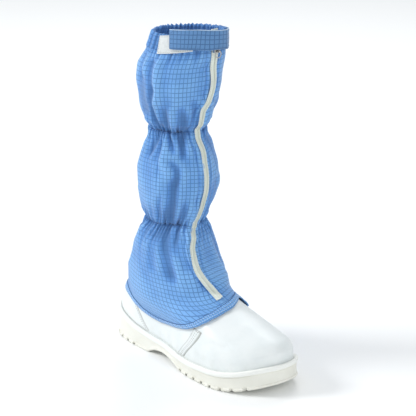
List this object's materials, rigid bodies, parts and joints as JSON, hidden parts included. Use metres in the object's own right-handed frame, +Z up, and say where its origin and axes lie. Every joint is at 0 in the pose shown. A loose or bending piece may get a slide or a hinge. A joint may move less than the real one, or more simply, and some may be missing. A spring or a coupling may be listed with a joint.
{
  "type": "cleanroom boot",
  "caption": "White slip-on cleanroom safety boot for the right foot with a gathered blue grid cloth gaiter, a front zip and a strap at the leg opening.",
  "frame": {"origin": "on the ground, under the middle of the sole's length and width", "axes": "+X towards the toe, +Y towards the inner side of the foot, +Z up the shaft"},
  "size_m": [0.3, 0.1084, 0.4321],
  "materials": {
    "sole_polyurethane": "matt cream polyurethane",
    "upper_microfibre": "smooth white coated microfibre",
    "insole_felt": "pale needled felt",
    "overlay_microfibre": "smooth white coated microfibre",
    "grid_cloth": "blue woven polyester with a fine dark conductive grid",
    "strap_cloth": "greyer blue woven polyester with a dark grid",
    "loop_pile": "white brushed loop pile",
    "zip_tape_polyester": "off-white woven tape",
    "zip_coil_nylon": "off-white nylon coil",
    "nickel_plate": "nickel-plated, slightly worn"
  },
  "bodies": {
    "boot": {"outsole": "sole_polyurethane", "upper": "upper_microfibre", "insole": "insole_felt", "heel_counter": "overlay_microfibre", "side_tab_lateral": "overlay_microfibre", "side_tab_medial": "overlay_microfibre", "shaft": "grid_cloth", "top_casing": "grid_cloth", "strap": "strap_cloth", "loop_patch": "loop_pile", "zip_tape": "zip_tape_polyester", "zip_chain": "zip_coil_nylon", "zip_slider": "nickel_plate"},
    "zip_pull": {"zip_pull_ring": "nickel_plate"}
  },
  "joints": [
    {"name": "ring_swing", "type": "hinge", "parent": "boot", "child": "zip_pull", "pos_m": [0.02805, 0.00476, 0.40557], "axis": [0.0079, -1, 0], "range_deg": [-8, 88]}
  ]
}
